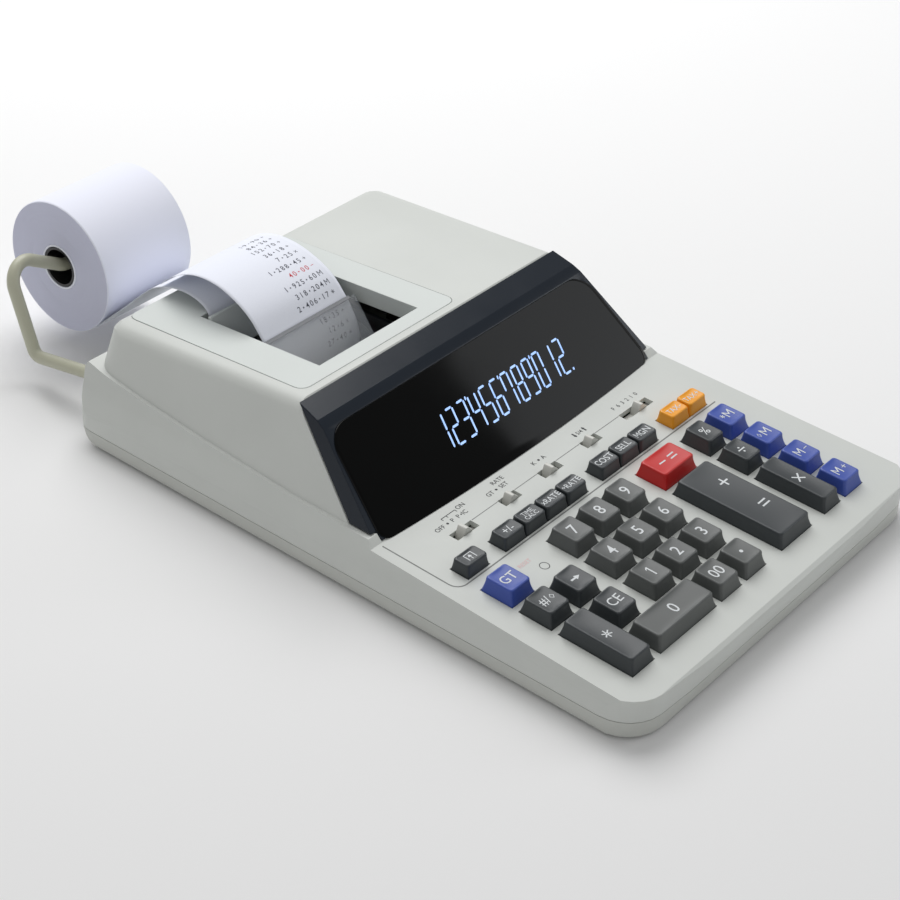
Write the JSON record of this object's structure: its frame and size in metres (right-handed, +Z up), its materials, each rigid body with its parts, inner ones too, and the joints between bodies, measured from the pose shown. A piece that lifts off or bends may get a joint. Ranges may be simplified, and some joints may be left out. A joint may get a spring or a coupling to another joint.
{
  "type": "printing desk calculator",
  "caption": "Mains desk calculator with a sloping display, sprung keys, slide switches and a paper roll on a bent arm feeding a tape printer.",
  "frame": {"origin": "centre of the whole model's bounding box in X and Y, on the desk plane under the feet", "axes": "+Z up, +Y from the keys towards the paper roll, +X to the user's right"},
  "size_m": [0.226, 0.4268, 0.0781],
  "materials": {
    "case_plastic": "fine-textured satin",
    "base_plastic": "fine-textured satin",
    "bezel_plastic": "gloss",
    "display_pane": "high gloss",
    "display_glass": "clear",
    "smoked_plastic": "smoked, glossy",
    "paper": "uncoated",
    "core_plastic": "moulded",
    "arm_plastic": "satin",
    "key_rubber": "matt",
    "circuit_board": "satin lacquer",
    "printer_steel": "pressed sheet",
    "transformer_iron": "varnished",
    "platen_rubber": "matt",
    "drum_plastic": "moulded",
    "knob_plastic": "satin",
    "key_grey": "satin, moulded",
    "key_dark": "satin, moulded",
    "key_blue": "satin, moulded",
    "key_red": "satin, moulded",
    "key_amber": "satin, moulded"
  },
  "bodies": {
    "case": {"upper_case": "case_plastic", "lower_case": "base_plastic", "display_bezel": "bezel_plastic", "display_window": "display_pane", "display_tube": "display_glass", "roll_arm": "arm_plastic", "keypad_sheet": "key_rubber", "main_board": "circuit_board", "printer_frame": "printer_steel", "transformer": "transformer_iron"},
    "cover": {"printer_cover": "case_plastic", "paper_guide": "case_plastic", "tear_plate": "smoked_plastic", "paper_tape": "paper", "paper_web": "paper"},
    "roll": {"paper_roll": "paper", "roll_core": "core_plastic"},
    "platen": {"platen_roller": "platen_rubber"},
    "drum": {"print_drum": "drum_plastic"},
    "switch_power": {"switch_power": "knob_plastic"},
    "switch_rate": {"switch_rate": "knob_plastic"},
    "switch_constant": {"switch_constant": "knob_plastic"},
    "switch_rounding": {"switch_rounding": "knob_plastic"},
    "switch_decimal": {"switch_decimal": "knob_plastic"},
    "key_grand_total": {"key_grand_total": "key_blue"},
    "key_non_add": {"key_non_add": "key_dark"},
    "key_multiply_left": {"key_multiply_left": "key_dark"},
    "key_shift": {"key_shift": "key_dark"},
    "key_clear_entry": {"key_clear_entry": "key_dark"},
    "key_0": {"key_0": "key_grey"},
    "key_7": {"key_7": "key_grey"},
    "key_4": {"key_4": "key_grey"},
    "key_1": {"key_1": "key_grey"},
    "key_8": {"key_8": "key_grey"},
    "key_5": {"key_5": "key_grey"},
    "key_2": {"key_2": "key_grey"},
    "key_00": {"key_00": "key_grey"},
    "key_9": {"key_9": "key_grey"},
    "key_6": {"key_6": "key_grey"},
    "key_3": {"key_3": "key_grey"},
    "key_point": {"key_point": "key_grey"},
    "key_minus": {"key_minus": "key_red"},
    "key_plus": {"key_plus": "key_dark"},
    "key_percent": {"key_percent": "key_dark"},
    "key_divide": {"key_divide": "key_dark"},
    "key_multiply": {"key_multiply": "key_dark"},
    "key_memory_total": {"key_memory_total": "key_blue"},
    "key_memory_subtotal": {"key_memory_subtotal": "key_blue"},
    "key_memory_minus": {"key_memory_minus": "key_blue"},
    "key_memory_plus": {"key_memory_plus": "key_blue"},
    "key_feed": {"key_feed": "key_dark"},
    "key_sign": {"key_sign": "key_dark"},
    "key_time": {"key_time": "key_dark"},
    "key_rate_times": {"key_rate_times": "key_dark"},
    "key_rate_over": {"key_rate_over": "key_dark"},
    "key_cost": {"key_cost": "key_dark"},
    "key_sell": {"key_sell": "key_dark"},
    "key_margin": {"key_margin": "key_dark"},
    "key_tax_minus": {"key_tax_minus": "key_amber"},
    "key_tax_plus": {"key_tax_plus": "key_amber"}
  },
  "joints": [
    {"name": "roll_spin", "type": "hinge", "parent": "case", "child": "roll", "pos_m": [-0.03025, 0.179, 0.0437], "axis": [1, 0, 0], "continuous": true},
    {"name": "cover_lift", "type": "slide", "parent": "case", "child": "cover", "axis": [0, 0.0754, 0.9972], "range_m": [0, 0.015]},
    {"name": "switch_power_slide", "type": "slide", "parent": "case", "child": "switch_power", "axis": [1, 0, 0], "range_m": [-0.0037, 0.0042]},
    {"name": "switch_rate_slide", "type": "slide", "parent": "case", "child": "switch_rate", "axis": [1, 0, 0], "range_m": [-0.0026, 0.0021]},
    {"name": "switch_constant_slide", "type": "slide", "parent": "case", "child": "switch_constant", "axis": [1, 0, 0], "range_m": [-0.003, 0.0036]},
    {"name": "switch_rounding_slide", "type": "slide", "parent": "case", "child": "switch_rounding", "axis": [1, 0, 0], "range_m": [-0.0018, 0.003]},
    {"name": "switch_decimal_slide", "type": "slide", "parent": "case", "child": "switch_decimal", "axis": [1, 0, 0], "range_m": [-0.0094, 0.0052]},
    {"name": "platen_spin", "type": "hinge", "parent": "case", "child": "platen", "pos_m": [-0.03, 0.0429, 0.03], "axis": [1, 0, 0], "continuous": true},
    {"name": "drum_spin", "type": "hinge", "parent": "case", "child": "drum", "pos_m": [-0.03, 0.0237, 0.036], "axis": [1, 0, 0], "continuous": true},
    {"name": "key_grand_total_press", "type": "slide", "parent": "case", "child": "key_grand_total", "axis": [0, 0.0293, -0.9996], "range_m": [0, 0.003], "stiffness_N_per_m": 150, "springref_m": -0.002},
    {"name": "key_non_add_press", "type": "slide", "parent": "case", "child": "key_non_add", "axis": [0, 0.0293, -0.9996], "range_m": [0, 0.003], "stiffness_N_per_m": 150, "springref_m": -0.002},
    {"name": "key_multiply_left_press", "type": "slide", "parent": "case", "child": "key_multiply_left", "axis": [0, 0.0293, -0.9996], "range_m": [0, 0.003], "stiffness_N_per_m": 150, "springref_m": -0.002},
    {"name": "key_shift_press", "type": "slide", "parent": "case", "child": "key_shift", "axis": [0, 0.0293, -0.9996], "range_m": [0, 0.003], "stiffness_N_per_m": 150, "springref_m": -0.002},
    {"name": "key_clear_entry_press", "type": "slide", "parent": "case", "child": "key_clear_entry", "axis": [0, 0.0293, -0.9996], "range_m": [0, 0.003], "stiffness_N_per_m": 150, "springref_m": -0.002},
    {"name": "key_0_press", "type": "slide", "parent": "case", "child": "key_0", "axis": [0, 0.0293, -0.9996], "range_m": [0, 0.003], "stiffness_N_per_m": 150, "springref_m": -0.002},
    {"name": "key_7_press", "type": "slide", "parent": "case", "child": "key_7", "axis": [0, 0.0293, -0.9996], "range_m": [0, 0.003], "stiffness_N_per_m": 150, "springref_m": -0.002},
    {"name": "key_4_press", "type": "slide", "parent": "case", "child": "key_4", "axis": [0, 0.0293, -0.9996], "range_m": [0, 0.003], "stiffness_N_per_m": 150, "springref_m": -0.002},
    {"name": "key_1_press", "type": "slide", "parent": "case", "child": "key_1", "axis": [0, 0.0293, -0.9996], "range_m": [0, 0.003], "stiffness_N_per_m": 150, "springref_m": -0.002},
    {"name": "key_8_press", "type": "slide", "parent": "case", "child": "key_8", "axis": [0, 0.0293, -0.9996], "range_m": [0, 0.003], "stiffness_N_per_m": 150, "springref_m": -0.002},
    {"name": "key_5_press", "type": "slide", "parent": "case", "child": "key_5", "axis": [0, 0.0293, -0.9996], "range_m": [0, 0.003], "stiffness_N_per_m": 150, "springref_m": -0.002},
    {"name": "key_2_press", "type": "slide", "parent": "case", "child": "key_2", "axis": [0, 0.0293, -0.9996], "range_m": [0, 0.003], "stiffness_N_per_m": 150, "springref_m": -0.002},
    {"name": "key_00_press", "type": "slide", "parent": "case", "child": "key_00", "axis": [0, 0.0293, -0.9996], "range_m": [0, 0.003], "stiffness_N_per_m": 150, "springref_m": -0.002},
    {"name": "key_9_press", "type": "slide", "parent": "case", "child": "key_9", "axis": [0, 0.0293, -0.9996], "range_m": [0, 0.003], "stiffness_N_per_m": 150, "springref_m": -0.002},
    {"name": "key_6_press", "type": "slide", "parent": "case", "child": "key_6", "axis": [0, 0.0293, -0.9996], "range_m": [0, 0.003], "stiffness_N_per_m": 150, "springref_m": -0.002},
    {"name": "key_3_press", "type": "slide", "parent": "case", "child": "key_3", "axis": [0, 0.0293, -0.9996], "range_m": [0, 0.003], "stiffness_N_per_m": 150, "springref_m": -0.002},
    {"name": "key_point_press", "type": "slide", "parent": "case", "child": "key_point", "axis": [0, 0.0293, -0.9996], "range_m": [0, 0.003], "stiffness_N_per_m": 150, "springref_m": -0.002},
    {"name": "key_minus_press", "type": "slide", "parent": "case", "child": "key_minus", "axis": [0, 0.0293, -0.9996], "range_m": [0, 0.003], "stiffness_N_per_m": 150, "springref_m": -0.002},
    {"name": "key_plus_press", "type": "slide", "parent": "case", "child": "key_plus", "axis": [0, 0.0293, -0.9996], "range_m": [0, 0.003], "stiffness_N_per_m": 150, "springref_m": -0.002},
    {"name": "key_percent_press", "type": "slide", "parent": "case", "child": "key_percent", "axis": [0, 0.0293, -0.9996], "range_m": [0, 0.003], "stiffness_N_per_m": 150, "springref_m": -0.002},
    {"name": "key_divide_press", "type": "slide", "parent": "case", "child": "key_divide", "axis": [0, 0.0293, -0.9996], "range_m": [0, 0.003], "stiffness_N_per_m": 150, "springref_m": -0.002},
    {"name": "key_multiply_press", "type": "slide", "parent": "case", "child": "key_multiply", "axis": [0, 0.0293, -0.9996], "range_m": [0, 0.003], "stiffness_N_per_m": 150, "springref_m": -0.002},
    {"name": "key_memory_total_press", "type": "slide", "parent": "case", "child": "key_memory_total", "axis": [0, 0.0293, -0.9996], "range_m": [0, 0.003], "stiffness_N_per_m": 150, "springref_m": -0.002},
    {"name": "key_memory_subtotal_press", "type": "slide", "parent": "case", "child": "key_memory_subtotal", "axis": [0, 0.0293, -0.9996], "range_m": [0, 0.003], "stiffness_N_per_m": 150, "springref_m": -0.002},
    {"name": "key_memory_minus_press", "type": "slide", "parent": "case", "child": "key_memory_minus", "axis": [0, 0.0293, -0.9996], "range_m": [0, 0.003], "stiffness_N_per_m": 150, "springref_m": -0.002},
    {"name": "key_memory_plus_press", "type": "slide", "parent": "case", "child": "key_memory_plus", "axis": [0, 0.0293, -0.9996], "range_m": [0, 0.003], "stiffness_N_per_m": 150, "springref_m": -0.002},
    {"name": "key_feed_press", "type": "slide", "parent": "case", "child": "key_feed", "axis": [0, 0.0293, -0.9996], "range_m": [0, 0.003], "stiffness_N_per_m": 150, "springref_m": -0.002},
    {"name": "key_sign_press", "type": "slide", "parent": "case", "child": "key_sign", "axis": [0, 0.0293, -0.9996], "range_m": [0, 0.003], "stiffness_N_per_m": 150, "springref_m": -0.002},
    {"name": "key_time_press", "type": "slide", "parent": "case", "child": "key_time", "axis": [0, 0.0293, -0.9996], "range_m": [0, 0.003], "stiffness_N_per_m": 150, "springref_m": -0.002},
    {"name": "key_rate_times_press", "type": "slide", "parent": "case", "child": "key_rate_times", "axis": [0, 0.0293, -0.9996], "range_m": [0, 0.003], "stiffness_N_per_m": 150, "springref_m": -0.002},
    {"name": "key_rate_over_press", "type": "slide", "parent": "case", "child": "key_rate_over", "axis": [0, 0.0293, -0.9996], "range_m": [0, 0.003], "stiffness_N_per_m": 150, "springref_m": -0.002},
    {"name": "key_cost_press", "type": "slide", "parent": "case", "child": "key_cost", "axis": [0, 0.0293, -0.9996], "range_m": [0, 0.003], "stiffness_N_per_m": 150, "springref_m": -0.002},
    {"name": "key_sell_press", "type": "slide", "parent": "case", "child": "key_sell", "axis": [0, 0.0293, -0.9996], "range_m": [0, 0.003], "stiffness_N_per_m": 150, "springref_m": -0.002},
    {"name": "key_margin_press", "type": "slide", "parent": "case", "child": "key_margin", "axis": [0, 0.0293, -0.9996], "range_m": [0, 0.003], "stiffness_N_per_m": 150, "springref_m": -0.002},
    {"name": "key_tax_minus_press", "type": "slide", "parent": "case", "child": "key_tax_minus", "axis": [0, 0.0293, -0.9996], "range_m": [0, 0.003], "stiffness_N_per_m": 150, "springref_m": -0.002},
    {"name": "key_tax_plus_press", "type": "slide", "parent": "case", "child": "key_tax_plus", "axis": [0, 0.0293, -0.9996], "range_m": [0, 0.003], "stiffness_N_per_m": 150, "springref_m": -0.002}
  ],
  "couplings": [
    {"joint": "platen_spin", "follows": "roll_spin", "ratio": 3.44}
  ]
}
